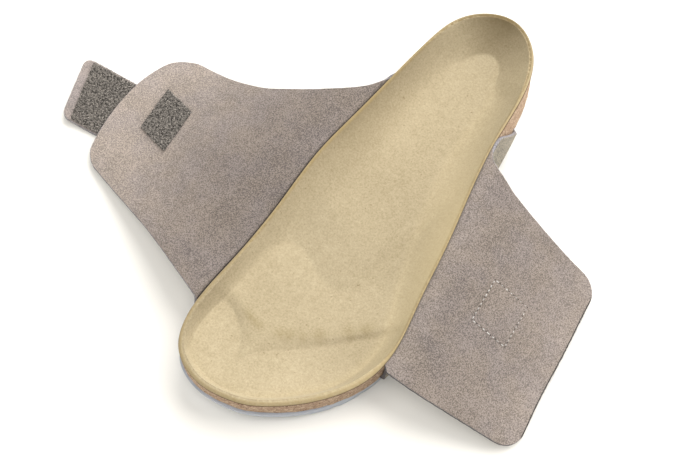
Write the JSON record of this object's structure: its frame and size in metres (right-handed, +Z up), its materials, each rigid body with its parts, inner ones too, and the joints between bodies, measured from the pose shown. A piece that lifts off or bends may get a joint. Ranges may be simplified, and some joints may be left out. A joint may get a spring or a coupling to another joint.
{
  "type": "open-flap sandal",
  "caption": "Left sandal with a contoured cork footbed, suede insole, grooved foam outsole and broad suede flaps, laid open, that close over the foot with hook-and-loop patches.",
  "frame": {"origin": "on the floor, under the middle of the sole's length", "axes": "+Y to the toe, +X to the inner, big-toe side, +Z up"},
  "size_m": [0.3431, 0.2836, 0.041],
  "materials": {
    "foam_outsole": "matte blue-grey foamed rubber",
    "cork": "moulded ground cork, matte",
    "footbed_suede": "beige suede lining",
    "flap_suede": "taupe suede with a short nap",
    "hook_and_loop": "dark napped hook-and-loop tape"
  },
  "bodies": {
    "root": {"outsole": "foam_outsole", "cork_midsole": "cork", "insole": "footbed_suede", "medial_flap": "flap_suede", "lateral_flap": "flap_suede", "closing_tab": "flap_suede", "tab_patch": "hook_and_loop", "medial_patch": "hook_and_loop", "lateral_patch": "hook_and_loop"}
  },
  "joints": []
}
